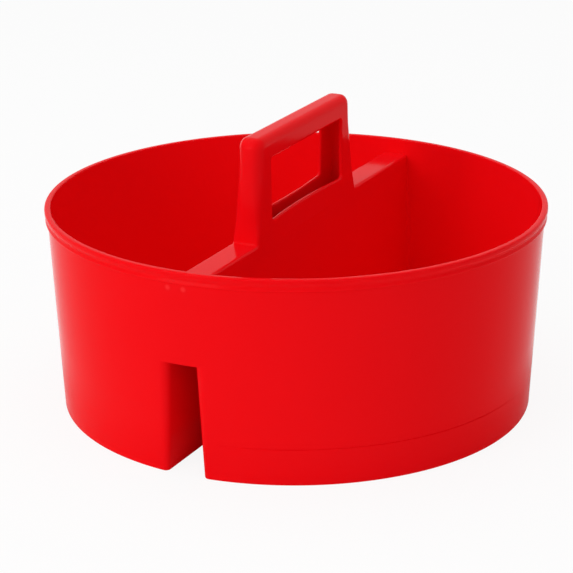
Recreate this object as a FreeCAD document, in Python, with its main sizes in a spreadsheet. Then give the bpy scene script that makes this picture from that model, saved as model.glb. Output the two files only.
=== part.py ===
"""Round storage caddy: a tapered drum with a hollow divider and a hollow loop handle.

The origin is at the middle of the base, +Z is up and the divider runs along Y.
All sizes are in millimetres.
"""
import FreeCAD
import Part
import Sketcher
import math
import os
import re

SIZES = {
    "rim_diameter": 320.0,
    "rim_height": 132.2,
    "base_diameter": 303.0,
    "wall_thickness": 2.4,
    "lip_stand_out": 1.5,
    "lip_face_height": 4.3,
    "lip_cove_height": 2.1,
    "rim_edge_radius": 0.8,
    "skirt_depth": 22.3,
    "floor_thickness": 2.4,
    "divider_drop": 10.2,
    "divider_foot_width": 28.6,
    "divider_top_width": 18.2,
    "divider_edge_radius": 1.8,
    "slot_height": 73.0,
    "mouth_foot_radius": 6.2,
    "mouth_head_radius": 6.4,
    "divider_head_fillet": 1.5,
    "sill_height": 11.5,
    "sill_bow": 2.2,
    "hand_hole_length": 100.0,
    "hand_hole_height": 39.5,
    "hand_hole_corner": 5.0,
    "leg_foot_length": 20.6,
    "leg_head_length": 15.4,
    "grip_depth": 14.0,
    "grip_width": 16.2,
    "handle_corner_radius": 5.0,
    "handle_top_radius": 4.5,
}

# Reach within which an edge counts as lying at a height, and the share of its room that a rounding takes
TOUCH = 0.01
FILLET_SHARE = 0.9
INSIDE_CORNER_SHARE = 0.25

doc = FreeCAD.newDocument("caddy")
sheet = doc.addObject("Spreadsheet::Sheet", "Sizes")
for row, (alias, number) in enumerate(SIZES.items(), start=1):
    sheet.set(f"A{row}", alias)
    sheet.set(f"B{row}", str(number))
    sheet.setAlias(f"B{row}", alias)
doc.recompute()


def tied(formula):
    """Formula in the sheet's own words, as an expression that any object can hold."""
    return re.sub(r"\b([a-z]+(?:_[a-z]+)+)\b", r"Sizes.\1", formula)


def value(formula):
    """Number that a formula gives with the sheet as it stands."""
    return float(sheet.evalExpression(tied(formula)))


def bind(item, **formulas):
    """Tie each named property of an object to a formula."""
    for name, formula in formulas.items():
        item.setExpression(name.replace("__", "."), tied(formula))


# Heights above the base
DIVIDER_TOP = "(rim_height - divider_drop)"
DIVIDER_UNDERSIDE = f"({DIVIDER_TOP} - wall_thickness)"
HOLE_FOOT = f"({DIVIDER_TOP} + sill_height)"
HOLE_HEAD = f"({HOLE_FOOT} + hand_hole_height)"
HANDLE_TOP = f"({HOLE_HEAD} + grip_depth)"
FLOOR_TOP = "(skirt_depth + floor_thickness)"
LIP_FOOT = "(rim_height - lip_face_height - lip_cove_height)"
BASE = "0"

# Half-lengths along the divider
HOLE_END = "(hand_hole_length / 2)"
SILL_END = "(hand_hole_length / 2 - hand_hole_corner)"
PAST_RIM = "(rim_diameter / 2)"


def wall_radius(height):
    """Outer radius of the tapered drum at a height."""
    flare = "((rim_diameter / 2 - lip_stand_out - base_diameter / 2) / rim_height)"
    return f"(base_diameter / 2 + {flare} * {height})"


def cavity_radius(height):
    """Inner radius of the tapered drum at a height."""
    return f"({wall_radius(height)} - wall_thickness)"


def half_width(height):
    """Half-width over the divider, and over the handle above it, whose sides lean in less."""
    divider_lean = f"((divider_foot_width - divider_top_width) / 2 / {DIVIDER_TOP})"
    handle_lean = f"((divider_top_width - grip_width) / 2 / ({HANDLE_TOP} - {DIVIDER_TOP}))"
    at_divider = f"{divider_lean} * min({height}; {DIVIDER_TOP})"
    above_divider = f"{handle_lean} * max({height} - {DIVIDER_TOP}; 0)"
    return f"(divider_foot_width / 2 - {at_divider} - {above_divider})"


def inner_half_width(height):
    """Half-width of the hollow inside the divider and handle."""
    return f"({half_width(height)} - wall_thickness)"


def half_length(height):
    """Half-length over the handle, whose two ends lean in towards the top."""
    lean = f"((leg_foot_length - leg_head_length) / ({HANDLE_TOP} - {DIVIDER_TOP}))"
    return f"({HOLE_END} + leg_foot_length - {lean} * ({height} - {DIVIDER_TOP}))"


def inner_half_length(height):
    """Half-length of the hollow inside the handle."""
    return f"({half_length(height)} - wall_thickness)"


def minus(formula):
    return f"(-1 * {formula})"


def both_ways(formula):
    """Range from minus a formula to plus it."""
    return minus(formula), formula


def leaning_block(name, low, high, x_low, x_high, y_low, y_high):
    """Block between two level rectangles, each given as an X range and a Y range."""
    block = doc.addObject("Part::Wedge", name)
    block.Placement = FreeCAD.Placement(FreeCAD.Vector(), FreeCAD.Rotation(FreeCAD.Vector(1, 0, 0), 90))
    bind(block, Ymin=low, Ymax=high,
         Xmin=x_low[0], Xmax=x_low[1], X2min=x_high[0], X2max=x_high[1],
         Zmin=minus(y_low[1]), Zmax=minus(y_low[0]), Z2min=minus(y_high[1]), Z2max=minus(y_high[0]))
    return block


def cavity(name, low, high):
    """Inside of the drum between two heights."""
    cone = doc.addObject("Part::Cone", name)
    bind(cone, Radius1=cavity_radius(low), Radius2=cavity_radius(high),
         Height=f"({high} - {low})", Placement__Base__z=low)
    return cone


def cut(name, base, tool):
    result = doc.addObject("Part::Cut", name)
    result.Base = base
    result.Tool = tool
    return result


def common(name, base, tool):
    result = doc.addObject("Part::Common", name)
    result.Base = base
    result.Tool = tool
    return result


def fuse(name, base, tool):
    result = doc.addObject("Part::Fuse", name)
    result.Base = base
    result.Tool = tool
    return result


def round_edges(name, base, radius_of):
    """Round each edge of a solid for which radius_of(edge) gives a radius."""
    doc.recompute()
    result = doc.addObject("Part::Fillet", name)
    result.Base = base
    radii = [(index, radius_of(edge)) for index, edge in enumerate(base.Shape.Edges, start=1)]
    result.Edges = [(index, radius, radius) for index, radius in radii if radius]
    return result


def plane_of(body, role):
    return next(plane for plane in body.Origin.OriginFeatures if plane.Role == role)


def outline(body, name, corners):
    """Closed outline of straight edges on the body's XZ plane, each corner tied to two formulas."""
    sketch = body.newObject("Sketcher::SketchObject", name)
    sketch.AttachmentSupport = (plane_of(body, "XZ_Plane"), [""])
    sketch.MapMode = "FlatFace"
    points = [FreeCAD.Vector(value(x), value(z), 0) for x, z in corners]
    count = len(points)
    for index in range(count):
        sketch.addGeometry(Part.LineSegment(points[index], points[(index + 1) % count]))
    for index, (x, z) in enumerate(corners):
        before = (index - 1) % count
        sketch.addConstraint(Sketcher.Constraint("Coincident", before, 2, index, 1))
        for kind, formula, number in (("DistanceX", x, points[index].x), ("DistanceY", z, points[index].y)):
            place = sketch.addConstraint(Sketcher.Constraint(kind, -1, 1, index, 1, number))
            sketch.setExpression(f"Constraints[{place}]", tied(formula))
    return sketch


def spun(body, sketch):
    """Solid of revolution of a sketch about the drum's axis."""
    turn = body.newObject("PartDesign::Revolution", f"{sketch.Name}_turned")
    turn.Profile = sketch
    turn.ReferenceAxis = (sketch, ["V_Axis"])
    turn.Angle = 360
    return turn


def drum_wall():
    """Tapered wall up to the lip, with a slot at the foot of each end of the divider."""
    body = doc.addObject("PartDesign::Body", "drum_wall")
    profile = outline(body, "wall_profile", [
        (cavity_radius(BASE), BASE),
        (wall_radius(BASE), BASE),
        (wall_radius(LIP_FOOT), LIP_FOOT),
        (cavity_radius(LIP_FOOT), LIP_FOOT),
    ])
    spun(body, profile)
    below = minus("wall_thickness")
    sketch = outline(body, "slot_outline", [
        (minus(slot_edge(below)), below),
        (slot_edge(below), below),
        (slot_edge("slot_height"), "slot_height"),
        (minus(slot_edge("slot_height")), "slot_height"),
    ])
    slots = body.newObject("PartDesign::Pocket", "slots")
    slots.Profile = sketch
    slots.Type = "ThroughAll"
    slots.Midplane = True
    return body


def rim_lip():
    """Lip that stands out over the wall on a hollow cove, with softened top edges."""
    body = doc.addObject("PartDesign::Body", "rim_lip")
    cove_head = "(rim_height - lip_face_height)"
    profile = outline(body, "lip_profile", [
        (cavity_radius(LIP_FOOT), LIP_FOOT),
        (wall_radius(LIP_FOOT), LIP_FOOT),
        ("(rim_diameter / 2)", cove_head),
        ("(rim_diameter / 2)", "rim_height"),
        (cavity_radius("rim_height"), "rim_height"),
    ])
    ring = spun(body, profile)
    doc.recompute()
    top = value("rim_height")
    names = [f"Edge{index}" for index, edge in enumerate(ring.Shape.Edges, start=1)
             if edge.BoundBox.ZMin > top - TOUCH]
    soft = body.newObject("PartDesign::Fillet", "softened_rim")
    soft.Base = (ring, names)
    bind(soft, Radius="rim_edge_radius")
    return body


def mouth_radius(height):
    """Radius of the slot's rounded mouth, which grows from its foot to its head."""
    return f"(mouth_foot_radius + (mouth_head_radius - mouth_foot_radius) * {height} / slot_height)"


def slot_edge(height):
    """Distance from the middle at which the mouth's bend runs out into the drum wall."""
    bend = mouth_radius(height)
    return f"(({inner_half_width(height)} + {bend}) * {wall_radius(height)} / ({wall_radius(height)} - {bend}))"


def mouth(height, bend):
    """Centre of the bend that turns a divider wall into the drum: across the divider, then along it."""
    across = value(inner_half_width(repr(height))) + bend
    reach = value(wall_radius(repr(height))) - bend
    return across, math.sqrt(reach ** 2 - across ** 2)


def on_drum(side, end, height, across, radius):
    """Point on a level circle of the drum at a distance from the middle."""
    return FreeCAD.Vector(side * across, end * math.sqrt(radius ** 2 - across ** 2), height)


def bend_points(side, end, height, bend, inset):
    """Start, middle and end of a bend, set back from its seen face by an inset."""
    across, along = mouth(height, bend)
    radius = bend - inset
    half_turn = (math.pi / 2 - math.atan2(across, along)) / 2
    start = FreeCAD.Vector(side * (across - radius), end * along, height)
    middle = FreeCAD.Vector(side * (across - radius * math.cos(half_turn)),
                            end * (along + radius * math.sin(half_turn)), height)
    drum = value(wall_radius(repr(height))) - inset
    edge = across * (1 + bend / math.hypot(across, along))
    return start, middle, on_drum(side, end, height, edge, drum)


def section(name, edges):
    wire = doc.addObject("Part::Feature", name)
    wire.Shape = Part.Wire([edge.toShape() for edge in edges])
    return wire


def lofted(name, sections):
    """Solid with straight lines from each outline to the next."""
    solid = doc.addObject("Part::Loft", name)
    solid.Sections = sections
    solid.Solid = True
    solid.Ruled = True
    return solid


def mouth_section(name, side, height):
    """Level outline of one divider wall: a straight run with a bend into the drum at each end."""
    bend = value(mouth_radius(repr(height)))
    wall = value("wall_thickness")
    front_seen, front_seen_mid, front_tip = bend_points(side, -1, height, bend, 0.0)
    rear_seen, rear_seen_mid, rear_tip = bend_points(side, 1, height, bend, 0.0)
    front_back, front_back_mid, front_heel = bend_points(side, -1, height, bend, wall)
    rear_back, rear_back_mid, rear_heel = bend_points(side, 1, height, bend, wall)
    return section(name, [
        Part.Arc(front_tip, front_seen_mid, front_seen),
        Part.LineSegment(front_seen, rear_seen),
        Part.Arc(rear_seen, rear_seen_mid, rear_tip),
        Part.LineSegment(rear_tip, rear_heel),
        Part.Arc(rear_heel, rear_back_mid, rear_back),
        Part.LineSegment(rear_back, front_back),
        Part.Arc(front_back, front_back_mid, front_heel),
        Part.LineSegment(front_heel, front_tip),
    ])


def plain_section(name, side, height, fillet):
    """Level outline of one divider wall above the slots, with a blunt-ended fillet into the drum at each end."""
    wall = value("wall_thickness")
    drum = value(cavity_radius(repr(height)))
    inner = value(inner_half_width(repr(height)))
    across, along = mouth(height, fillet + wall)
    turn = FILLET_SHARE * (math.pi / 2 - math.atan2(across, along))

    def on_fillet(end, angle):
        return FreeCAD.Vector(side * (across - fillet * math.cos(angle)),
                              end * (along + fillet * math.sin(angle)), height)

    tip = across - fillet * math.cos(turn)
    front_inner, rear_inner = [on_drum(side, end, height, inner, drum) for end in (-1, 1)]
    front_middle, rear_middle = [on_drum(side, end, height, (inner + tip) / 2, drum) for end in (-1, 1)]
    front_tip, rear_tip = [on_drum(side, end, height, tip, drum) for end in (-1, 1)]
    return section(name, [
        Part.LineSegment(front_inner, rear_inner),
        Part.Arc(rear_inner, rear_middle, rear_tip),
        Part.LineSegment(rear_tip, on_fillet(1, turn)),
        Part.Arc(on_fillet(1, turn), on_fillet(1, turn / 2), on_fillet(1, 0.0)),
        Part.LineSegment(on_fillet(1, 0.0), on_fillet(-1, 0.0)),
        Part.Arc(on_fillet(-1, 0.0), on_fillet(-1, turn / 2), on_fillet(-1, turn)),
        Part.LineSegment(on_fillet(-1, turn), front_tip),
        Part.Arc(front_tip, front_middle, front_inner),
    ])


def floor_section(name, side, height):
    """Level outline of one compartment: the divider wall with its two bends, then the drum."""
    wall = value("wall_thickness")
    level = value(height)
    bend = value(mouth_radius(height))
    front_back, front_back_mid, front_heel = bend_points(side, -1, level, bend, wall)
    rear_back, rear_back_mid, rear_heel = bend_points(side, 1, level, bend, wall)
    far_side = FreeCAD.Vector(side * value(cavity_radius(height)), 0, level)
    return section(name, [
        Part.Arc(front_heel, front_back_mid, front_back),
        Part.LineSegment(front_back, rear_back),
        Part.Arc(rear_back, rear_back_mid, rear_heel),
        Part.Arc(rear_heel, far_side, front_heel),
    ])


def divider_wall(name, side):
    """One leaning wall of the divider: bends into the drum beside the slots, fillets above them."""
    slot_head = value("slot_height")
    lower = lofted(f"{name}_beside_slots", [
        mouth_section(f"{name}_foot", side, 0.0),
        mouth_section(f"{name}_slot_head", side, slot_head),
    ])
    fillet = value("mouth_head_radius - wall_thickness")
    upper = lofted(f"{name}_above_slots", [
        plain_section(f"{name}_over_slot", side, slot_head, fillet),
        plain_section(f"{name}_head", side, value(DIVIDER_UNDERSIDE), value("divider_head_fillet")),
    ])
    return fuse(name, lower, upper)


def compartment_floor(name, side):
    """D-shaped floor between the drum and one divider wall, fitted round that wall's bends."""
    return lofted(name, [
        floor_section(f"{name}_underside", side, "skirt_depth"),
        floor_section(f"{name}_top", side, FLOOR_TOP),
    ])


def divider_top(name, end, handle_foot):
    """Closed top of the divider from the drum to the handle's foot, with softened long edges."""
    run = (minus(PAST_RIM), minus(HOLE_END)) if end < 0 else (HOLE_END, PAST_RIM)
    bar = leaning_block(f"{name}_bar", DIVIDER_UNDERSIDE, DIVIDER_TOP,
                        both_ways(half_width(DIVIDER_UNDERSIDE)), both_ways(half_width(DIVIDER_TOP)), run, run)
    inside = cavity(f"{name}_reach", DIVIDER_UNDERSIDE, DIVIDER_TOP)
    plain = cut(f"{name}_plain", common(f"{name}_trimmed", bar, inside), handle_foot)
    top = value(DIVIDER_TOP)
    radius = min(value("divider_edge_radius"), value("wall_thickness") * FILLET_SHARE)

    def long_top_edge(edge):
        box = edge.BoundBox
        return radius if box.ZMin > top - TOUCH and box.XLength < TOUCH else None

    return round_edges(name, plain, long_top_edge)


def handle_block(name, low, high, across, along):
    """Block of the handle between two heights, with ends and sides that lean in."""
    return leaning_block(name, low, high, both_ways(across(low)), both_ways(across(high)),
                         both_ways(along(low)), both_ways(along(high)))


def rounded_handle(name, block, low, high, corner, top):
    """Round a handle block's four upright corners and its top edges."""
    low_z, high_z = value(low), value(high)

    def radius_of(edge):
        box = edge.BoundBox
        if box.ZMin > high_z - TOUCH:
            return top
        return corner if box.ZLength > high_z - low_z - TOUCH else None

    return round_edges(name, block, radius_of)


def hand_hole():
    """Opening for the fingers, right through the handle, with rounded corners."""
    block = leaning_block("hand_hole_block", HOLE_FOOT, HOLE_HEAD,
                          both_ways("divider_foot_width"), both_ways("divider_foot_width"),
                          both_ways(HOLE_END), both_ways(HOLE_END))

    def radius_of(edge):
        return value("hand_hole_corner") if edge.BoundBox.XLength > TOUCH else None

    return round_edges("hand_hole", block, radius_of)


def region(name, low, high, y_range):
    """Plain block as wide as the drum, used to take one region of the handle."""
    return leaning_block(name, low, high, both_ways(PAST_RIM), both_ways(PAST_RIM), y_range, y_range)


def handle_pieces(handle_foot):
    """Front leg, rear leg and grip of the hollow handle."""
    narrow = value("grip_width") / 2
    corner = min(value("handle_corner_radius"), narrow * FILLET_SHARE)
    top = min(value("handle_top_radius"), corner * FILLET_SHARE)
    wall = value("wall_thickness")
    block = handle_block("handle_body", DIVIDER_TOP, HANDLE_TOP, half_width, half_length)
    outer = rounded_handle("handle_outside", block, DIVIDER_TOP, HANDLE_TOP, corner, top)
    ceiling = f"({HANDLE_TOP} - wall_thickness)"
    core = handle_block("handle_core", DIVIDER_UNDERSIDE, ceiling, inner_half_width, inner_half_length)
    inside_corner = max(corner - wall, wall * INSIDE_CORNER_SHARE)
    hollow = rounded_handle("handle_hollow", core, DIVIDER_UNDERSIDE, ceiling, inside_corner, inside_corner)
    shell = cut("handle_shell", fuse("handle_whole", outer, handle_foot), hollow)
    open_shell = cut("handle_open", shell, hand_hole())
    past = f"(2 * {HOLE_END} + leg_foot_length)"
    legs = [
        common("handle_front_leg", open_shell,
               region("front_leg_region", DIVIDER_UNDERSIDE, HOLE_HEAD, (minus(past), minus(SILL_END)))),
        common("handle_rear_leg", open_shell,
               region("rear_leg_region", DIVIDER_UNDERSIDE, HOLE_HEAD, (SILL_END, past))),
    ]
    grip = common("handle_grip", open_shell,
                  region("grip_region", HOLE_HEAD, f"({HANDLE_TOP} + grip_depth)", both_ways(past)))
    return legs + [grip]


def sill_section(name, side, height, bow):
    """Level outline of a sill: two edges that bow in towards the middle by the given amount."""
    end = value(SILL_END)
    outer = value(half_width(height))
    inner = value(inner_half_width(height))
    level = value(height)

    def spot(x, y):
        return FreeCAD.Vector(side * x, y, level)

    def run(x, start):
        first, last = spot(x, start), spot(x, -start)
        if bow:
            return Part.Arc(first, spot(x - bow, 0), last)
        return Part.LineSegment(first, last)

    edges = [run(outer, -end), Part.LineSegment(spot(outer, end), spot(inner, end)),
             run(inner, end), Part.LineSegment(spot(inner, -end), spot(outer, -end))]
    return section(name, edges)


def hole_sill(name, side):
    """Edge of wall below the hand hole, straight at its foot and bowed in along its top."""
    return lofted(name, [
        sill_section(f"{name}_foot", side, DIVIDER_UNDERSIDE, 0.0),
        sill_section(f"{name}_head", side, HOLE_FOOT, value("sill_bow")),
    ])


handle_foot_block = handle_block("handle_foot", DIVIDER_UNDERSIDE, DIVIDER_TOP, half_width, half_length)
pieces = [
    drum_wall(),
    rim_lip(),
    divider_wall("divider_left_wall", -1),
    divider_wall("divider_right_wall", 1),
    compartment_floor("left_floor", -1),
    compartment_floor("right_floor", 1),
    divider_top("divider_front_top", -1, handle_foot_block),
    divider_top("divider_rear_top", 1, handle_foot_block),
    hole_sill("left_hole_sill", -1),
    hole_sill("right_hole_sill", 1),
]
pieces += handle_pieces(handle_foot_block)
doc.recompute()

for item in doc.Objects:
    if "Invalid" in item.State or "Error" in item.State:
        raise RuntimeError(f"{item.Label} did not build: {item.State}")
for piece in pieces:
    shape = piece.Shape
    if shape.isNull() or not shape.isValid() or len(shape.Solids) != 1:
        raise RuntimeError(f"{piece.Label} is not one sound solid")

os.makedirs("parts", exist_ok=True)
for piece in pieces:
    piece.Shape.exportStep(f"parts/{piece.Label}.step")
    print(f"{piece.Label}: {piece.Shape.Volume / 1000:.2f} cm3")
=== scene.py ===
# %% [markdown]
# # A round red carry caddy
# The real thing is one glossy moulding: a tapered drum, a hollow divider that stands right through it, a
# slot at the foot of each end of the divider and a hollow loop handle on top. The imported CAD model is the
# frame, and the surfaces below take their main sizes from it, so they need no fitting. Only small edges,
# such as the lip's section and the bends beside the slot, are drawn closer to the photograph than the
# solids have them.

# %% Load the frame
import bmesh
import bpy
import numpy as np
from mathutils import Matrix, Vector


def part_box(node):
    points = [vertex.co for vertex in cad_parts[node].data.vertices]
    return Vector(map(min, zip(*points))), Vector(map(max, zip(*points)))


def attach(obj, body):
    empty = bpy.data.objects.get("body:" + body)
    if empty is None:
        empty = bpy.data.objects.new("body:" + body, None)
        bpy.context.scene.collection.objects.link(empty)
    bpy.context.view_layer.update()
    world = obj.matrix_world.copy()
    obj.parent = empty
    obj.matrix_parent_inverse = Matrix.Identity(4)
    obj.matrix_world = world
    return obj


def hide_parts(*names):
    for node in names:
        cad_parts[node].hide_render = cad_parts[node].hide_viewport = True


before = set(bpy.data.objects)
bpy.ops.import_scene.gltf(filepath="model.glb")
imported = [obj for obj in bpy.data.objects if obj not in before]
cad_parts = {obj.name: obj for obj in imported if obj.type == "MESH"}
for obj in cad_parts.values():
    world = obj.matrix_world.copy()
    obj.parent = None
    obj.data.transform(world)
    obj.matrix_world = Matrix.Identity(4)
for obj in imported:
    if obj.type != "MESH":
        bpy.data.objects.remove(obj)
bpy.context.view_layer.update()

MM = 0.001
print("frame nodes:", len(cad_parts))

# %% [markdown]
# ## The camera
# The photograph was taken with a long lens from a little above the rim and to the right of the slot. A
# camera can be moved by eye until the outlines agree, but its small errors then hide in every piece. This
# one was fitted to the rim and base outlines, which gives its place, its axes and its lens. It comes
# first, so that every later render can be laid over the photograph.

# %% Camera at the photograph's viewing angle
EYE = np.array([605.9, -1215.84, 548.69]) * MM
BACK = np.array([0.42495, -0.84264, 0.33078])
ROLL = -0.00733246
FOCAL_LENGTH = 139.80
SENSOR_WIDTH = 36.0
FAR_CLIP = 50.0


def facing_matrix(place, back, roll=0.0):
    """World matrix of a camera or lamp: level axes first, then turned about the view axis by the roll."""
    level = np.array([-back[1], back[0], 0.0]) / np.hypot(back[0], back[1])
    rise = np.cross(back, level)
    right = level * np.cos(roll) + rise * np.sin(roll)
    up = rise * np.cos(roll) - level * np.sin(roll)
    return Matrix([list(row) for row in zip(right, up, back, place)] + [[0.0, 0.0, 0.0, 1.0]])


lens = bpy.data.cameras.new("photo_camera")
lens.lens = FOCAL_LENGTH
lens.sensor_width = SENSOR_WIDTH
lens.clip_end = FAR_CLIP
camera = bpy.data.objects.new("photo_camera", lens)
camera.matrix_world = facing_matrix(EYE, BACK, ROLL)
bpy.context.scene.collection.objects.link(camera)
bpy.context.scene.camera = camera
print("camera stands", round(float(np.linalg.norm(EYE)), 3), "m from the middle of the base")

# %% [markdown]
# ## Sizes that several pieces share
# The drum widens upwards and the divider narrows upwards, both in a straight line, so that the moulding
# leaves its mould. All sizes are in millimetres. Each piece could hold numbers of its own, but then
# neighbours drift apart. Here heights and the lip's radius are read from the frame, and each taper is one
# function of the height, so patches that meet get the same border.


# %% Heights and lip radius from the frame
def foot_of(node):
    """Height of a CAD node's lowest point in millimetres, rounded to a hundredth."""
    return round(float(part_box(node)[0][2]) / MM, 2)


def top_of(node):
    """Height of a CAD node's highest point in millimetres, rounded to a hundredth."""
    return round(float(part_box(node)[1][2]) / MM, 2)


RIM_TOP = top_of("rim_lip")
LIP_RADIUS = round(float(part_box("rim_lip")[1][0]) / MM, 1)
STRIP_TOP = top_of("divider_front_top")
HANDLE_TOP = top_of("handle_grip")
LOOP_RISE = HANDLE_TOP - STRIP_TOP
FLOOR_TOP = top_of("left_floor")
FLOOR_UNDERSIDE = foot_of("left_floor")
print("tops of rim, divider and handle:", RIM_TOP, STRIP_TOP, HANDLE_TOP, "mm")

# %% Tapers of the drum, the divider and the slot's mouth
WALL = 2.4
SLOT_HEAD = 73.0
BASE_RADIUS, DRUM_SPREAD = 151.5, 7.0
DIVIDER_FOOT, DIVIDER_LEAN, LOOP_LEAN = 14.3, 5.2, 1.0
MOUTH_FOOT, MOUTH_SPREAD = 3.4, 2.4


def drum_radius(z):
    """Outer radius of the drum: the base radius plus the taper times the height."""
    return BASE_RADIUS + DRUM_SPREAD / RIM_TOP * z


def half_width(z):
    """Half-width over divider and handle: one lean up to the divider's top and a slighter one above it."""
    lower = DIVIDER_LEAN / STRIP_TOP * np.minimum(z, STRIP_TOP)
    upper = LOOP_LEAN / LOOP_RISE * np.maximum(z - STRIP_TOP, 0.0)
    return DIVIDER_FOOT - lower - upper


def mouth_radius(z):
    """Radius of the bend beside the slot, which opens a little from the foot to the slot's head."""
    return MOUTH_FOOT + MOUTH_SPREAD * z / SLOT_HEAD


def ease(low, high, value):
    """Smooth step: 0 below low, 1 above high, and 3t squared less 2t cubed in between."""
    t = np.clip((value - low) / (high - low), 0.0, 1.0)
    return t * t * (3.0 - 2.0 * t)


print("drum radius at base and rim:", drum_radius(0.0), drum_radius(RIM_TOP))

# %% [markdown]
# ## One mesh from many patches
# The drum's outside runs round the slot's mouth into the divider without an edge, so the shading must run
# across those joins too. Separate objects would show a seam there. Instead each patch is a grid of points
# that shares its border points with its neighbour. The patches go into one pile, and merging the doubled
# points sews them together.

# %% Pile of patches
MERGE_DISTANCE = 2e-6


def surface(x, y, z):
    """Grid of points from three coordinates, each given for every point or shared by rows or columns."""
    return np.stack(np.broadcast_arrays(x, y, z), axis=-1)


class Pile:
    """Points and four-sided faces gathered from several grids."""

    def __init__(self):
        self.points, self.faces, self.count = [], [], 0

    def add(self, grid, closed=False, flip=False, toward=None):
        """Add a grid; closed joins its last column to its first, and flip or toward sets the facing."""
        rows, columns = grid.shape[:2]
        index = np.arange(rows * columns).reshape(rows, columns)
        if closed:
            index = np.concatenate([index, index[:, :1]], axis=1)
        corners = [index[:-1, :-1], index[:-1, 1:], index[1:, 1:], index[1:, :-1]]
        quads = np.stack(corners, axis=-1).reshape(-1, 4)
        flat = grid.reshape(-1, 3)
        if toward is not None:
            corner = flat[quads]
            facing = np.cross(corner[:, 2] - corner[:, 0], corner[:, 3] - corner[:, 1]).sum(axis=0)
            flip = float(facing @ np.asarray(toward, float)) < 0.0
        self.points.append(flat)
        self.faces.append((quads[:, ::-1] if flip else quads) + self.count)
        self.count += len(flat)

    def arrays(self):
        """All points and all faces."""
        return np.concatenate(self.points), np.concatenate(self.faces)


def new_piece(name, points, faces, sharp_angle):
    """Mesh object from millimetre points: doubles merged, shaded smooth, edges over the angle kept sharp."""
    mesh = bpy.data.meshes.new(name)
    mesh.from_pydata((points * MM).tolist(), [], faces.tolist())
    work = bmesh.new()
    work.from_mesh(mesh)
    bmesh.ops.remove_doubles(work, verts=work.verts, dist=MERGE_DISTANCE)
    work.to_mesh(mesh)
    work.free()
    mesh.shade_smooth()
    mesh.set_sharp_from_angle(angle=np.radians(sharp_angle))
    piece = bpy.data.objects.new(name, mesh)
    bpy.context.scene.collection.objects.link(piece)
    print(f"{name}: {len(mesh.vertices)} points, {len(mesh.polygons)} faces")
    return piece


shell = Pile()
print("pile for the drum:", len(shell.points), "patches so far")

# %% [markdown]
# ## Half of the drum as one closed outline
# Seen from above, each half is the letter D: a straight run along the divider, a bend at each end, and the
# arc of the drum. Cutting the slots out of a turned drum would leave hard edges to round afterwards. A D
# that already has its bends needs no cutting, and the same outline, set in by the wall, is the inside. So
# a half is a profile of (inset, height) pairs carried round the D.

# %% The D outline, with its points closer together towards the bends
BENDS = 12
CROWDING = 0.6
RUN = np.linspace(-1.0, 1.0, 61)
EVEN = np.linspace(0.0, 1.0, 152)[1:-1]
ARC = EVEN - CROWDING * np.sin(2.0 * np.pi * EVEN) / (2.0 * np.pi)


def bend_arc(flat, radius, bend):
    """Points of a bend from the straight run round to the drum, and the drum's angle where it ends.

    Its centre lies across by flat plus bend and along by Pythagoras, so it touches the run and the drum.
    """
    across = flat + bend
    along = np.sqrt((radius - bend) ** 2 - across ** 2)
    leave = np.arctan2(across, along)
    angle = (np.pi / 2 + leave) * np.linspace(0.0, 1.0, BENDS + 1)
    return across - bend * np.cos(angle), along + bend * np.sin(angle), leave


def d_outline(flat, radius, bend, z, side):
    """Rows of D outlines: a run at x = flat, an arc of the bend's radius, the drum's arc and a bend again."""
    given = np.broadcast_arrays(flat, radius, bend, z)
    flat, radius, bend, z = [np.asarray(value, float).reshape(-1, 1) for value in given]
    bend_x, bend_y, leave = bend_arc(flat, radius, bend)
    sweep = leave + (np.pi - 2.0 * leave) * ARC
    x = [flat + 0 * RUN, bend_x[:, 1:], radius * np.sin(sweep), bend_x[:, :0:-1]]
    y = [bend_y[:, :1] * RUN, bend_y[:, 1:], radius * np.cos(sweep), -bend_y[:, :0:-1]]
    return surface(side * np.concatenate(x, axis=1), np.concatenate(y, axis=1), z)


print("points round one D:", d_outline(12.0, 150.0, 6.0, 0.0, 1).shape[1])

# %% Sheets and floors from the outline
HALF_MIDDLE = 75.0
RING_SHARES = np.array([0.0, 0.35, 0.7, 0.92])


def outside_outline(inset, z, side):
    """D outline of the outer sheet, set in from its seen face."""
    z = np.asarray(z, float)
    return d_outline(half_width(z) - WALL + inset, drum_radius(z) - inset, mouth_radius(z) - inset, z, side)


def closing_rings(outline, side, z):
    """Rings that shrink an outline to the middle of its half, which closes a flat floor."""
    middle = np.array([side * HALF_MIDDLE, 0.0, z])
    return middle + (outline - middle) * RING_SHARES.reshape(-1, 1, 1)


def quarter(count):
    """Sine and cosine of a quarter turn in even steps."""
    angle = np.linspace(0.0, np.pi / 2, count)
    return np.sin(angle), np.cos(angle)


sine, cosine = quarter(6)
print("a floor is closed by", len(RING_SHARES), "rings and an edge is rounded in", len(sine) - 1, "steps")

# %% [markdown]
# ## Skirt, foot and outer wall
# Below the floor the wall runs on as a thin skirt, and the caddy stands on its rounded foot. A curve with
# a bevel could sweep such a profile, but here the bends and tapers change with the height. So each row of
# the profile gets its own D: from the middle of the floor's underside, down the skirt, round the foot and
# up the outside. On the right half's front the photograph shows a fine line at the floor's level, so two
# rows of the wall dip in there.

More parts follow.
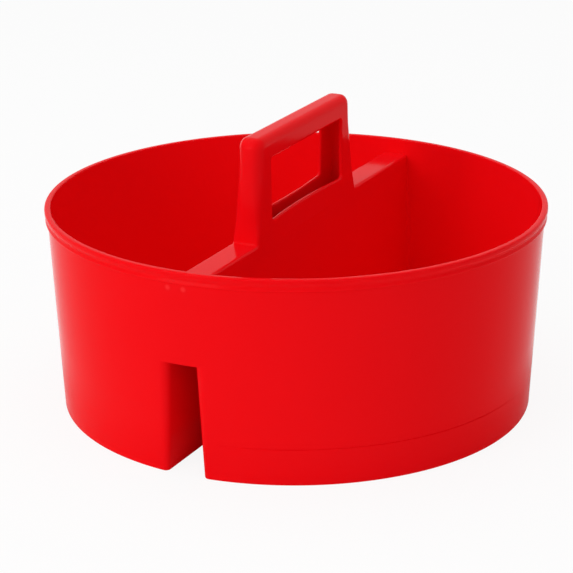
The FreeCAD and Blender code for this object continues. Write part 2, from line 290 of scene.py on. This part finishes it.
# %% Profile of the skirt and the foot
ROOT_FILLET = 1.5
FOOT_INSIDE = 1.2
FOOT_OUTSIDE = WALL - FOOT_INSIDE
SKIRT_ROWS = 6
SKIRT_TOP, SKIRT_END = FLOOR_UNDERSIDE - ROOT_FILLET - 2.0, FOOT_INSIDE + 1.0
skirt_inset = np.concatenate([
    WALL + ROOT_FILLET * (1 - sine),
    np.full(SKIRT_ROWS, WALL),
    WALL - FOOT_INSIDE * (1 - cosine),
    FOOT_OUTSIDE * (1 - sine),
])
skirt_z = np.concatenate([
    FLOOR_UNDERSIDE - ROOT_FILLET * (1 - cosine),
    np.linspace(SKIRT_TOP, SKIRT_END, SKIRT_ROWS),
    FOOT_INSIDE * (1 - sine),
    FOOT_OUTSIDE * (1 - cosine),
])
print("skirt and foot:", len(skirt_z), "rows")

# %% Fine line and outer wall up to the slot's head
LINE_Z = 23.9
LINE_DEPTH = 0.4
LINE_HALF = 0.3
LINE_ROWS = np.array([-1.0, -0.34, -0.26, 0.26, 0.34, 1.0])
FADE_AT_SIDE = (0.47, 0.62)
FADE_AT_SLOT = (0.01, 0.08)
BELOW_LINE, ABOVE_LINE = (3.0, 20.0), (27.0, SLOT_HEAD)
wall_z = np.concatenate([np.linspace(*BELOW_LINE, 7), LINE_Z + LINE_ROWS, np.linspace(*ABOVE_LINE, 17)])


def fine_line(z, side):
    """Depth of the fine line: whole on rows near its height, faded along the front of the right half."""
    fade = ease(*FADE_AT_SIDE, ARC) * ease(*FADE_AT_SLOT, 1.0 - ARC) * (side > 0)
    along = np.concatenate([np.zeros(len(RUN) + BENDS), fade, np.zeros(BENDS)])
    return LINE_DEPTH * (np.abs(z - LINE_Z) < LINE_HALF).reshape(-1, 1) * along


for side in (-1, 1):
    skirt = outside_outline(skirt_inset, skirt_z, side)
    underside = closing_rings(skirt[0], side, FLOOR_UNDERSIDE)
    wall = outside_outline(0.0, wall_z, side)
    wall[..., :2] *= (1.0 - fine_line(wall_z, side) / drum_radius(wall_z).reshape(-1, 1))[..., None]
    shell.add(np.concatenate([underside, skirt, wall]), closed=True, flip=side > 0)
print("outer halves:", shell.count, "points")

# %% [markdown]
# ## Inside of the compartments
# Tools stand on a floor some way above the base. A solidify modifier could thicken the outer sheet, but
# the inside has corners of its own. So it is the same D set in by the wall. Above the slot its upright
# corner fillet shrinks until, just under the divider's top, the divider meets the drum in a nearly plain
# corner.

# %% Compartment floors and walls, up to the height JOIN where the handle's mesh takes over
JOIN = 115.0
FLOOR_FILLET = 2.0
CORNER_LOSS = 3.0
INNER_ROWS = 28
INNER_START = 29.0


def corner_fillet(z):
    """Radius of the upright inside corner: the mouth's radius less the wall, easing away above the slot."""
    return mouth_radius(np.minimum(z, SLOT_HEAD)) - WALL - CORNER_LOSS * ease(SLOT_HEAD, JOIN, z)


inner_inset = np.concatenate([FLOOR_FILLET * (1 - sine), np.zeros(INNER_ROWS)])
inner_z = np.concatenate([
    FLOOR_TOP + FLOOR_FILLET * (1 - cosine), np.linspace(INNER_START, JOIN, INNER_ROWS),
])
inner_flat = half_width(inner_z) + inner_inset
inner_radius = drum_radius(inner_z) - WALL - inner_inset
for side in (-1, 1):
    inside = d_outline(inner_flat, inner_radius, corner_fillet(inner_z), inner_z, side)
    floor = closing_rings(inside[0], side, FLOOR_TOP)
    shell.add(np.concatenate([floor, inside]), closed=True, flip=side < 0)
print("with compartments:", shell.count, "points")

# %% [markdown]
# ## Upper drum and rim
# Above the slots the drum is whole, and a lip with two beads and a hollow between them stiffens its rim. A
# screw modifier could turn that profile, but its columns would miss the slots' corners. So the profile is
# turned here by angles of its own: they start at the slot's corners and end at the divider's, and both
# borders share points with the halves.

# %% Angles round the drum
SIDE_STEPS = 10
MIDDLE_STEPS = 40


def full_turn(edge, gap):
    """Angles round the whole drum: an arc, the front gap, the other arc and the rear gap."""
    arc = edge + (np.pi - 2.0 * edge) * ARC
    far_edge = 2.0 * np.pi - edge
    return np.concatenate([[edge], arc, np.pi - gap, np.pi + arc, [far_edge], 2.0 * np.pi - gap[1:-1]])


head_inner = half_width(SLOT_HEAD) - WALL
head_radius = drum_radius(SLOT_HEAD)
mouth_x, mouth_y, slot_angle = bend_arc(head_inner, head_radius, mouth_radius(SLOT_HEAD))
slot_edge = head_radius * np.sin(slot_angle)
gap_x = np.concatenate([
    np.linspace(slot_edge, head_inner, SIDE_STEPS + 1),
    np.linspace(head_inner, -head_inner, MIDDLE_STEPS + 1)[1:],
    np.linspace(-head_inner, -slot_edge, SIDE_STEPS + 1)[1:],
])
outer_turn = full_turn(slot_angle, np.arcsin(gap_x / head_radius))
join_angle = bend_arc(half_width(JOIN), drum_radius(JOIN) - WALL, corner_fillet(JOIN))[2]
inner_turn = full_turn(join_angle, np.linspace(join_angle, -join_angle, len(gap_x)))
print("slot is", round(2 * slot_edge, 1), "mm wide at its head;", len(outer_turn), "columns")

# %% Section of the lip: low bead, hollow, upper face, outer edge and inner edge
LIP_FOOT = 124.1
LOW_BEAD, LOW_BEAD_Z = 159.6, 125.0
HOLLOW, HOLLOW_Z = 158.9, 127.3
LIP_FACE_Z, LIP_FACE = 129.7, 0.6
LIP_EDGE = 1.2
RIM_EDGE = 0.8
lip_sine, lip_cosine = quarter(7)
bead_r = drum_radius(LIP_FOOT) + (LOW_BEAD - drum_radius(LIP_FOOT)) * lip_sine
bead_z = LIP_FOOT + (LOW_BEAD_Z - LIP_FOOT) * (1 - lip_cosine)
flank_z = np.linspace(LOW_BEAD_Z, LIP_FACE_Z, 21)[1:]
flank_r = (LOW_BEAD - (LOW_BEAD - HOLLOW) * ease(LOW_BEAD_Z, HOLLOW_Z, flank_z)
           + (LIP_RADIUS - HOLLOW) * ease(HOLLOW_Z, LIP_FACE_Z, flank_z))
lip_r = np.concatenate([
    bead_r[1:], flank_r, [LIP_RADIUS], LIP_RADIUS - LIP_EDGE * (1 - lip_cosine),
    drum_radius(RIM_TOP) - WALL + RIM_EDGE * (1 - lip_sine),
])
lip_z = np.concatenate([
    bead_z[1:], flank_z, [LIP_FACE_Z + LIP_FACE], RIM_TOP - LIP_EDGE * (1 - lip_sine),
    RIM_TOP - RIM_EDGE * (1 - lip_cosine),
])
print("lip section:", len(lip_z), "points")

# %% Upper drum, from the slot's head over the lip and down inside to the divider
WIDE_ROWS, CLOSE_ROWS = (SLOT_HEAD, 108.0), (108.8, LIP_FOOT)
RIM_ROWS, STRIP_ROWS = (RIM_TOP - RIM_EDGE - 0.8, STRIP_TOP), (STRIP_TOP - 1.5, JOIN)
rise_z = np.concatenate([np.linspace(*WIDE_ROWS, 14), np.linspace(*CLOSE_ROWS, 36)])
drop_z = np.concatenate([np.linspace(*RIM_ROWS, 6), np.linspace(*STRIP_ROWS, 5)])
profile_r = np.concatenate([drum_radius(rise_z), lip_r, drum_radius(drop_z) - WALL]).reshape(-1, 1)
profile_z = np.concatenate([rise_z, lip_z, drop_z]).reshape(-1, 1)
turns = outer_turn + (inner_turn - outer_turn) * ease(SLOT_HEAD, LIP_FOOT, rise_z).reshape(-1, 1)
turns = np.concatenate([turns, np.tile(inner_turn, (len(lip_z) + len(drop_z), 1))])
shell.add(surface(profile_r * np.sin(turns), profile_r * np.cos(turns), profile_z), closed=True, flip=True)
print("with the upper drum:", shell.count, "points")

# %% [markdown]
# ## Slot heads and the hollow of the divider
# Each slot ends in a flat face under the drum wall, and behind it the hollow of the divider rises out of
# sight. One many-sided face would fill the slot's head, but it shades badly. Three grids cover it instead,
# two between a bend and the line of the hollow's wall and one across the middle. Above stand the hollow's
# leaning walls and its ends.

# %% Slot heads
DOWN = (0, 0, -1)
INNER_ROW = BENDS - 2
inner_reach = np.sqrt((head_radius - WALL) ** 2 - head_inner ** 2)
outer_reach = np.sqrt(head_radius ** 2 - head_inner ** 2)
line_y = np.concatenate([
    np.linspace(mouth_y[0], inner_reach, INNER_ROW + 1), np.linspace(inner_reach, outer_reach, 3)[1:],
])
step = np.linspace(0.0, 1.0, SIDE_STEPS + 1)
corner_x = mouth_x[:, None] + (head_inner - mouth_x)[:, None] * step
corner_r = np.hypot(mouth_x, mouth_y)[:, None] * (1 - step) + np.hypot(head_inner, line_y)[:, None] * step
corner_y = np.sqrt(corner_r ** 2 - corner_x ** 2)
middle_x = np.linspace(head_inner, -head_inner, MIDDLE_STEPS + 1)
middle_y = np.sqrt((line_y[INNER_ROW:] ** 2 + head_inner ** 2).reshape(-1, 1) - middle_x ** 2)
for end in (-1, 1):
    for side in (-1, 1):
        shell.add(surface(side * corner_x, end * corner_y, SLOT_HEAD), toward=DOWN)
    shell.add(surface(middle_x, end * middle_y, SLOT_HEAD), toward=DOWN)
print("with slot heads:", shell.count, "points")

# %% Walls and ends of the hollow, from the slot's head up to the handle piece
hollow_z = np.linspace(SLOT_HEAD, JOIN, 8).reshape(-1, 1)
hollow_x = half_width(hollow_z) - WALL
hollow_radius = drum_radius(hollow_z) - WALL
head_y = np.concatenate([-line_y[INNER_ROW:0:-1], mouth_y[0] * RUN, line_y[1:INNER_ROW + 1]])
hollow_y = head_y * np.sqrt(hollow_radius ** 2 - hollow_x ** 2) / inner_reach
for side in (-1, 1):
    shell.add(surface(side * hollow_x, hollow_y, hollow_z), toward=(-side, 0, 0))
end_x = hollow_x * np.linspace(-1.0, 1.0, MIDDLE_STEPS + 1)
end_y = np.sqrt(hollow_radius ** 2 - end_x ** 2)
for end in (-1, 1):
    shell.add(surface(end_x, end * end_y, hollow_z), toward=(0, -end, 0))
drum_shell = new_piece("drum_shell", *shell.arrays(), sharp_angle=32)

# %% [markdown]
# ## Divider top and loop handle
# Divider and handle are one leaning wedge, hollow inside, with a hand hole right through. Edges of
# different roundness run into each other at the foot of each leg, which is awkward to draw as patches or
# to bevel. A distance field says it simply: every point of space gets its distance from the surface,
# rounded corners are arcs of that distance, and the mesh is drawn where the distance is zero.


# %% Rounded corners of distance fields
def round_both(a, b, radius):
    """Common part of two solids: beyond the radius the larger distance, near the edge an arc."""
    arc = np.hypot(np.maximum(a + radius, 0.0), np.maximum(b + radius, 0.0))
    return np.minimum(np.maximum(a, b), -radius) + arc


def round_either(a, b, radius):
    """Two solids together, with a fillet of the given radius in the corner between them."""
    arc = np.hypot(np.maximum(radius - a, 0.0), np.maximum(radius - b, 0.0))
    return np.maximum(np.minimum(a, b), radius) - arc


print("an edge rounded by 1 mm lies", round(float(round_both(0.0, 0.0, 1.0)), 3), "mm inside the sharp one")

# %% Sides, ends, edges and hand hole of the handle
SILL_FOOT = foot_of("left_hole_sill")
HOLE_FOOT, HOLE_TOP = top_of("left_hole_sill"), foot_of("handle_grip")
HOLE_MIDDLE = (HOLE_FOOT + HOLE_TOP) / 2
HOLE_HALF, HOLE_CORNER = 50.0, 2.5
SILL_BOW, SILL_HALF = 2.2, 45.0
LOOP_HALF, LOOP_TAPER = 70.6, 5.2
CROWN_ROUND, CROWN_FOOT, CROWN_FULL_Z = 30.0, 0.3, 138.0
EDGE_FOOT, EDGE_GROWTH, EDGE_RISE = 1.8, 4.2, 45.0
GRIP_LOSS, GRIP_EASE = 0.8, (168.0, 184.0)


def handle_sides(x, y, z):
    """Distance from the two leaning sides, which bow inwards below the hand hole."""
    bow = SILL_BOW * np.maximum(1.0 - (y / SILL_HALF) ** 2, 0.0) * (z < HOLE_MIDDLE)
    return np.abs(x) + bow * np.clip((z - SILL_FOOT) / (HOLE_FOOT - SILL_FOOT), 0.0, 1.0) - half_width(z)


def handle_ends(x, y, z):
    """Distance from the two leaning ends of the loop: flat at the foot, crowned across the leg further up."""
    crown = x ** 2 / CROWN_ROUND * (CROWN_FOOT + (1.0 - CROWN_FOOT) * ease(STRIP_TOP, CROWN_FULL_Z, z))
    return np.abs(y) + crown - LOOP_HALF + LOOP_TAPER / LOOP_RISE * (z - STRIP_TOP)


def edge_radius(z):
    """Rounding of the long edges: small on the divider, growing up the legs and a little less on the grip."""
    grown = EDGE_GROWTH * np.clip((z - STRIP_TOP) / EDGE_RISE, 0.0, 1.0)
    return EDGE_FOOT + grown - GRIP_LOSS * ease(*GRIP_EASE, z)


def hand_hole(y, z):
    """Distance from the hand hole: a rectangle whose corners are arcs."""
    past_y = np.maximum(np.abs(y) - (HOLE_HALF - HOLE_CORNER), 0.0)
    past_z = np.maximum(np.abs(z - HOLE_MIDDLE) - (HOLE_TOP - HOLE_MIDDLE - HOLE_CORNER), 0.0)
    return np.hypot(past_y, past_z) - HOLE_CORNER


print("hand hole:", 2 * HOLE_HALF, "by", HOLE_TOP - HOLE_FOOT, "mm")

# %% Field of the whole handle
LOOP_CORNER, CORE_CORNER = 6.4, 4.4
LEG_FILLET = 1.0
CORE_EDGE = 0.6
HOLE_EDGE = 1.1


def handle_field(x, y, z):
    """Distance from the divider's top and the handle: sides cut to the side-view outline, hollowed and holed.

    The last line ends the divider in the middle of the drum's wall.
    """
    sides, ends, edge = handle_sides(x, y, z), handle_ends(x, y, z), edge_radius(z)
    loop = round_both(ends, z - HANDLE_TOP, LOOP_CORNER)
    outside = round_both(sides, round_either(z - STRIP_TOP, loop, LEG_FILLET), edge)
    core = np.minimum(z - STRIP_TOP, round_both(ends, z - HANDLE_TOP, CORE_CORNER)) + WALL
    hollow = round_both(sides + WALL, core, np.maximum(edge - WALL, CORE_EDGE))
    sheet = round_both(np.maximum(outside, -hollow), -hand_hole(y, z), HOLE_EDGE)
    return np.maximum(sheet, np.hypot(x, y) - drum_radius(z) + WALL / 2)


print("field at the middle of the grip's top:", float(handle_field(0.0, 0.0, HANDLE_TOP)))

# %% [markdown]
# ## From a field to a mesh
# Marching cubes is the usual way to mesh a field, but it makes many thin triangles. Surface nets put one
# point in each grid cell that the surface crosses and join the points of neighbouring cells by four-sided
# faces. Sliding the points onto the surface afterwards keeps the long flat sides clean.


# %% Crossings of a field on a grid
def sign_changes(values, axes, axis):
    """Grid edges along one axis that cross the surface, which edges start inside, and the crossing places."""
    low = np.take(values, np.arange(values.shape[axis] - 1), axis=axis)
    high = np.take(values, np.arange(1, values.shape[axis]), axis=axis)
    crossed = (low < 0) != (high < 0)
    share = np.where(crossed, low / np.where(crossed, low - high, 1.0), 0.0)
    places = np.meshgrid(*[a[:-1] if n == axis else a for n, a in enumerate(axes)], indexing="ij")
    span = np.diff(axes[axis]).reshape([-1 if n == axis else 1 for n in range(3)])
    places[axis] = places[axis] + share * span
    return crossed, low < 0, np.stack(places, axis=-1) * crossed[..., None]


def cell_sums(shape, changes):
    """Sum and number of the crossings on the twelve edges of every grid cell."""
    total, hits = np.zeros(shape + (3,)), np.zeros(shape)
    for axis, (crossed, _, places) in enumerate(changes):
        first, second = [n for n in range(3) if n != axis]
        for step_first, step_second in np.ndindex(2, 2):
            cut = [slice(None)] * 3
            cut[first] = slice(step_first, step_first + shape[first])
            cut[second] = slice(step_second, step_second + shape[second])
            total += places[tuple(cut)]
            hits += crossed[tuple(cut)]
    return total, hits


def crossing_faces(number, axis, crossed, starts_inside):
    """A face for each crossed edge along an axis: the points of the four cells round it, facing outwards."""
    first, second = (axis + 1) % 3, (axis + 2) % 3
    keep = [slice(None)] * 3
    keep[first] = keep[second] = slice(1, -1)
    edge = np.argwhere(crossed[tuple(keep)])
    edge[:, [first, second]] += 1
    corners = []
    for back_first, back_second in ((1, 1), (0, 1), (0, 0), (1, 0)):
        cell = edge.copy()
        cell[:, first] -= back_first
        cell[:, second] -= back_second
        corners.append(number[tuple(cell.T)])
    quads = np.stack(corners, axis=-1)
    return np.where(starts_inside[tuple(edge.T)][:, None], quads, quads[:, ::-1])


def zero_surface(field, axes):
    """Surface net of a field: each crossed cell's point is the mean of the crossings on its edges."""
    values = field(*np.meshgrid(*axes, indexing="ij", sparse=True))
    shape = tuple(n - 1 for n in values.shape)
    changes = [sign_changes(values, axes, axis) for axis in range(3)]
    total, hits = cell_sums(shape, changes)
    used = hits > 0
    number = np.full(shape, -1)
    number[used] = np.arange(int(used.sum()))
    faces = [crossing_faces(number, axis, change[0], change[1]) for axis, change in enumerate(changes)]
    return total[used] / hits[used][:, None], np.concatenate(faces)


ball_axes = [np.linspace(-1.5, 1.5, 7)] * 3
ball_points, ball_faces = zero_surface(lambda x, y, z: x ** 2 + y ** 2 + z ** 2 - 1.0, ball_axes)
print("tried on a ball:", len(ball_points), "points and", len(ball_faces), "faces")

# %% Net of the handle, on a grid that is fine where edges turn
FINE = 0.7
HALF_CELL = 0.5
ACROSS = (-13.3, 13.31)
HOLE_Y, LEG_Y, STRIP_Y = (0.0, 38.0), (38.7, 76.0), (77.0, 158.0)
JOIN_Z = [JOIN - HALF_CELL, JOIN + HALF_CELL]
STRIP_Z, LEG_Z, GRIP_Z = (JOIN + 1.5, 142.0), (142.5, 164.0), (164.7, 188.8)
half_y = np.concatenate([np.linspace(*HOLE_Y, 20), np.arange(*LEG_Y, FINE), np.linspace(*STRIP_Y, 36)])
grid_x = np.arange(*ACROSS, FINE)
grid_y = np.concatenate([-half_y[:0:-1], half_y])
grid_z = np.concatenate([
    JOIN_Z, np.arange(*STRIP_Z, FINE), np.linspace(*LEG_Z, 16), np.arange(*GRIP_Z, FINE),
])
points, faces = zero_surface(handle_field, (grid_x, grid_y, grid_z))
print("surface net:", len(points), "points,", len(faces), "faces")

# %% Points slid onto the surface
NUDGE = 1e-3
LEAST_SLOPE = 0.2


def settle(field, points, rounds, only_x=None):
    """Slide points onto a field's zero: subtract value times gradient over gradient squared, a few times.

    Points flagged by only_x move sideways alone.
    """
    for _ in range(rounds):
        value = field(*points.T)
        ahead = [field(*(points + NUDGE * unit).T) for unit in np.eye(3)]
        behind = [field(*(points - NUDGE * unit).T) for unit in np.eye(3)]
        slope = (np.stack(ahead, axis=-1) - np.stack(behind, axis=-1)) / (2 * NUDGE)
        if only_x is not None:
            slope[only_x, 1:] = 0.0
        points = points - (value / np.maximum((slope ** 2).sum(axis=1), LEAST_SLOPE))[:, None] * slope
    return points


lowest = points[:, 2] < JOIN + HALF_CELL
points = settle(handle_field, points, rounds=3)
points[lowest, 2] = JOIN
points = settle(handle_field, points, rounds=2, only_x=lowest)
divider_handle = new_piece("divider_handle", points, faces, sharp_angle=40)

# %% [markdown]
# ## Moulded red plastic
# The real finish is one clean red, polished by the mould, with a hardly visible ripple. The plastic glows
# a little where light gets into it. Four small pale spots under the rim, where the divider's walls meet the
# drum, are painted highlights that stand in for the glints on sink marks there. A painted picture could
# hold all that, but it would blur close up. A node group works it out from the object's own coordinates
# instead, and the shader takes its gloss directly.


# %% Helpers for shader nodes
def set_inputs(node, values):
    """Give a node's inputs their fixed values, by label."""
    for label, value in values.items():
        node.inputs[label].default_value = value


def noise(tree, place, size, detail):
    """Socket with noise of a given size at a place."""
    node = tree.nodes.new("ShaderNodeTexNoise")
    node.inputs["Detail"].default_value = detail
    tree.links.new(place, node.inputs["Vector"])
    tree.links.new(size, node.inputs["Scale"])
    return node.outputs["Fac"]


def colour_mix(tree, share, first, second):
    """Socket with two colours mixed by a share."""
    node = tree.nodes.new("ShaderNodeMix")
    node.data_type = "RGBA"
    tree.links.new(share, node.inputs["Factor"])
    tree.links.new(first, node.inputs["A"])
    tree.links.new(second, node.inputs["B"])
    return node.outputs["Result"]


print("helpers:", ", ".join(helper.__name__ for helper in (set_inputs, noise, colour_mix)))

# %% Tone, gloss and ripple as a node group
# Place and radii of four painted highlights: pale spots under the rim that stand in for glints on sink marks.
GLINT_PLACE = (0.00515, 0.1578, 0.1212)
GLINT_CORE, GLINT_EDGE = 0.0005, 0.0024
DRIFT_DETAIL, RIPPLE_DETAIL = 2.0, 3.0
GLOSSIEST, DULLEST = 0.1, 0.16
SOCKETS = (
    ("INPUT", "NodeSocketColor", ("Light Tone", "Deep Tone", "Painted Glint Tone")),
    ("INPUT", "NodeSocketFloat", ("Ripple Size", "Drift Size")),
    ("OUTPUT", "NodeSocketColor", ("Tone",)),
    ("OUTPUT", "NodeSocketFloat", ("Roughness", "Height")),
)


def painted_glint_mask(tree, place):
    """Mask of the four painted highlights: the distance from one of them, faded towards its edge.

    Coordinates without their signs fold the caddy onto one quarter, so one distance makes all four.
    """
    fold, away = tree.nodes.new("ShaderNodeVectorMath"), tree.nodes.new("ShaderNodeVectorMath")
    fold.operation, away.operation = "ABSOLUTE", "DISTANCE"
    away.inputs[1].default_value = GLINT_PLACE
    fade = tree.nodes.new("ShaderNodeMapRange")
    fade.interpolation_type = "SMOOTHSTEP"
    set_inputs(fade, {"From Min": GLINT_CORE, "From Max": GLINT_EDGE, "To Min": 1.0, "To Max": 0.0})
    tree.links.new(place, fold.inputs[0])
    tree.links.new(fold.outputs["Vector"], away.inputs[0])
    tree.links.new(away.outputs["Value"], fade.inputs["Value"])
    return fade.outputs["Result"]


def moulding_group():
    """Slow noise drifts between two tones and two roughnesses, fine noise is the ripple, painted highlights
    go on top.
    """
    group = bpy.data.node_groups.new("moulding_ripple", "ShaderNodeTree")
    for way, kind, labels in SOCKETS:
        for label in labels:
            group.interface.new_socket(label, in_out=way, socket_type=kind)
    given, made = group.nodes.new("NodeGroupInput"), group.nodes.new("NodeGroupOutput")
    place = group.nodes.new("ShaderNodeTexCoord").outputs["Object"]
    drift = noise(group, place, given.outputs["Drift Size"], DRIFT_DETAIL)
    ripple = noise(group, place, given.outputs["Ripple Size"], RIPPLE_DETAIL)
    gloss = group.nodes.new("ShaderNodeMapRange")
    set_inputs(gloss, {"To Min": GLOSSIEST, "To Max": DULLEST})
    group.links.new(drift, gloss.inputs["Value"])
    plain = colour_mix(group, drift, given.outputs["Light Tone"], given.outputs["Deep Tone"])
    # Painted highlights: four pale spots mixed into the tone, in place of the glints on sink marks.
    with_painted_glints = colour_mix(group, painted_glint_mask(group, place), plain, given.outputs["Painted Glint Tone"])
    group.links.new(with_painted_glints, made.inputs["Tone"])
    group.links.new(gloss.outputs["Result"], made.inputs["Roughness"])
    group.links.new(ripple, made.inputs["Height"])
    return group


ripple_group = moulding_group()
print(ripple_group.name, "has", len(ripple_group.nodes), "nodes")

# %% Red plastic on both pieces
TONES = {
    "Light Tone": (0.955, 0.004, 0.008, 1.0),
    "Deep Tone": (0.925, 0.003, 0.006, 1.0),
    # Pale pink of the painted highlights under the rim.
    "Painted Glint Tone": (1.0, 0.032, 0.034, 1.0),
}
NOISE_SIZES = {"Ripple Size": 140.0, "Drift Size": 9.0}
SHEEN = {"Specular IOR Level": 0.027}
GLOW = {"Subsurface Weight": 0.2, "Subsurface Radius": (1.0, 0.08, 0.08), "Subsurface Scale": 0.003}
RIPPLE = {"Strength": 0.04, "Distance": 0.0004}


def red_plastic():
    """Polished red moulding: a low sheen straight on, a strong one at a glance, and a slight inner glow."""
    material = bpy.data.materials.new("red_plastic")
    material.use_nodes = True
    nodes, links = material.node_tree.nodes, material.node_tree.links
    shader = nodes["Principled BSDF"]
    set_inputs(shader, {**SHEEN, **GLOW})
    finish = nodes.new("ShaderNodeGroup")
    finish.node_tree = ripple_group
    set_inputs(finish, {**TONES, **NOISE_SIZES})
    bump = nodes.new("ShaderNodeBump")
    set_inputs(bump, RIPPLE)
    links.new(finish.outputs["Tone"], shader.inputs["Base Color"])
    links.new(finish.outputs["Roughness"], shader.inputs["Roughness"])
    links.new(finish.outputs["Height"], bump.inputs["Height"])
    links.new(bump.outputs["Normal"], shader.inputs["Normal"])
    return material


plastic = red_plastic()
REPLACED = {
    drum_shell: [
        "drum_wall", "rim_lip", "left_floor", "right_floor", "divider_left_wall", "divider_right_wall",
    ],
    divider_handle: [
        "divider_front_top", "divider_rear_top", "handle_front_leg", "handle_rear_leg", "handle_grip",
        "left_hole_sill", "right_hole_sill",
    ],
}
for piece, nodes_replaced in REPLACED.items():
    piece.data.materials.append(plastic)
    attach(piece, "root")
    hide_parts(*nodes_replaced)
print("pieces:", ", ".join(piece.name for piece in REPLACED))

# %% [markdown]
# ## Floor and studio light
# The photograph has a white sweep and soft light from the upper left. Lit by these lamps alone, a white
# floor would render grey. So to the camera and in mirror images it is nine parts plain white, and the
# tenth part is matt paint that keeps the contact shadow. All other rays find the paint. Two large soft
# lamps and a pale world light the caddy.

# %% Helpers for rays and shaders
WHITE = (1.0, 1.0, 1.0, 1.0)


def arithmetic(tree, operation, first, second):
    """Socket with the result of an operation on a socket and a number or another socket."""
    node = tree.nodes.new("ShaderNodeMath")
    node.operation = operation
    tree.links.new(first, node.inputs[0])
    if isinstance(second, float):
        node.inputs[1].default_value = second
    else:
        tree.links.new(second, node.inputs[1])
    return node.outputs["Value"]


def showing_rays(tree, mirror_share=1.0):
    """Mask of the rays that show a thing instead of lighting by it: 1 from the camera, a share in mirrors."""
    path = tree.nodes.new("ShaderNodeLightPath")
    mirrored = arithmetic(tree, "MAXIMUM", path.outputs["Is Glossy Ray"], path.outputs["Is Transmission Ray"])
    mirrored = arithmetic(tree, "MULTIPLY", mirrored, mirror_share)
    return arithmetic(tree, "MAXIMUM", path.outputs["Is Camera Ray"], mirrored)


def mix_to_output(tree, share, first, second, output):
    """Mix two shaders by a share and send the mix to a tree's output node."""
    mix = tree.nodes.new("ShaderNodeMixShader")
    tree.links.new(share, mix.inputs["Fac"])
    tree.links.new(first, mix.inputs[1])
    tree.links.new(second, mix.inputs[2])
    tree.links.new(mix.outputs["Shader"], tree.nodes[output].inputs["Surface"])


print("helpers:", ", ".join(helper.__name__ for helper in (arithmetic, showing_rays, mix_to_output)))

# %% Floor
FLOOR_HALF = 8.0
FLOOR_TONE = (0.95, 0.95, 0.95, 1.0)
WHITE_SHARE = 0.9
MIRROR_NEAR, MIRROR_FAR = 0.165, 0.21


def floor_paint():
    """Floor paint that shows nearly white, except that close to the foot its mirror image stays in shadow."""
    material = bpy.data.materials.new("studio_white")
    material.use_nodes = True
    tree = material.node_tree
    paint = tree.nodes["Principled BSDF"]
    set_inputs(paint, {"Base Color": FLOOR_TONE, "Roughness": 0.9, "Specular IOR Level": 0.0})
    white = tree.nodes.new("ShaderNodeEmission")
    white.inputs["Color"].default_value = WHITE
    where, distance = tree.nodes.new("ShaderNodeNewGeometry"), tree.nodes.new("ShaderNodeVectorMath")
    distance.operation = "LENGTH"
    clear = tree.nodes.new("ShaderNodeMapRange")
    clear.interpolation_type = "SMOOTHSTEP"
    set_inputs(clear, {"From Min": MIRROR_NEAR, "From Max": MIRROR_FAR})
    tree.links.new(where.outputs["Position"], distance.inputs[0])
    tree.links.new(distance.outputs["Value"], clear.inputs["Value"])
    shown = arithmetic(tree, "MULTIPLY", showing_rays(tree, clear.outputs["Result"]), WHITE_SHARE)
    mix_to_output(tree, shown, paint.outputs["BSDF"], white.outputs["Emission"], "Material Output")
    return material


floor_corners = [(FLOOR_HALF * x, FLOOR_HALF * y, 0.0) for x, y in ((-1, -1), (1, -1), (1, 1), (-1, 1))]
floor_mesh = bpy.data.meshes.new("studio_floor")
floor_mesh.from_pydata(floor_corners, [], [(0, 1, 2, 3)])
studio_floor = bpy.data.objects.new("studio_floor", floor_mesh)
bpy.context.scene.collection.objects.link(studio_floor)
studio_floor.data.materials.append(floor_paint())
print("floor is", 2 * FLOOR_HALF, "m wide")

# %% World and lamps
SKY_STRENGTH = 0.52
SEEN_SKY = (0.98, 0.98, 0.98, 1.0)
bpy.context.scene.view_settings.view_transform = "Standard"
world = bpy.data.worlds.new("studio")
bpy.context.scene.world = world
world.use_nodes = True
sky_tree = world.node_tree
sky, seen = sky_tree.nodes["Background"], sky_tree.nodes.new("ShaderNodeBackground")
set_inputs(sky, {"Color": WHITE, "Strength": SKY_STRENGTH})
seen.inputs["Color"].default_value = SEEN_SKY
sky_light, sky_shown = sky.outputs["Background"], seen.outputs["Background"]
mix_to_output(sky_tree, showing_rays(sky_tree), sky_light, sky_shown, "World Output")


def soft_lamp(name, place, target, size, power):
    """Square area lamp at a place, turned to face a target."""
    lamp = bpy.data.lights.new(name, "AREA")
    lamp.size = size
    lamp.energy = power
    holder = bpy.data.objects.new(name, lamp)
    back = np.subtract(place, target)
    holder.matrix_world = facing_matrix(place, back / np.linalg.norm(back))
    bpy.context.scene.collection.objects.link(holder)
    return holder


lamps = [
    soft_lamp("left_softbox", place=(-0.8, -2.03, 0.9), target=(0.0, 0.0, 0.08), size=1.1, power=14.8),
    soft_lamp("overhead_softbox", place=(-0.2, -0.1, 1.7), target=(0.0, 0.0, 0.1), size=1.8, power=9.2),
]
print("lamps:", ", ".join(lamp.name for lamp in lamps))
